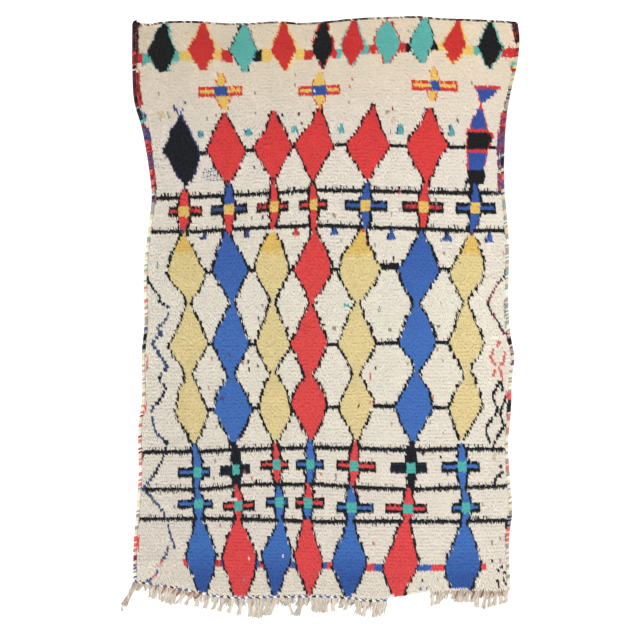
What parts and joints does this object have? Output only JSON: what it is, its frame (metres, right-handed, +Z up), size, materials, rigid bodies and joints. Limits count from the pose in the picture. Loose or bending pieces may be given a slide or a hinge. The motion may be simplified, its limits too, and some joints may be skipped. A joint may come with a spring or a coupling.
{
  "type": "hand-knotted wool rug",
  "caption": "Flat knotted wool rug with lozenge columns, overcast sides, a twined head cord and combs of warp fringe along the tail end.",
  "frame": {"origin": "middle of the rug's outline, on the floor that it lies on", "axes": "+Z up out of the pile, +Y from the fringed tail end to the head end, +X to the right as seen from above"},
  "size_m": [1.507, 2.2952, 0.011],
  "materials": {
    "pile_wool": "short knotted wool pile, cream ground with red, blue, yellow, teal and black motifs",
    "selvedge_wool": "overcast wool yarn in changing colours",
    "cord_wool": "twined dark and cream wool",
    "twining_wool": "twined blue and cream yarn",
    "fringe_yarn": "loose undyed warp yarn, matt"
  },
  "bodies": {
    "root": {"pile_field": "pile_wool", "left_selvedge": "selvedge_wool", "right_selvedge": "selvedge_wool", "head_cord": "cord_wool", "tail_twining": "twining_wool", "long_fringe": "fringe_yarn", "short_fringe": "fringe_yarn"}
  },
  "joints": []
}
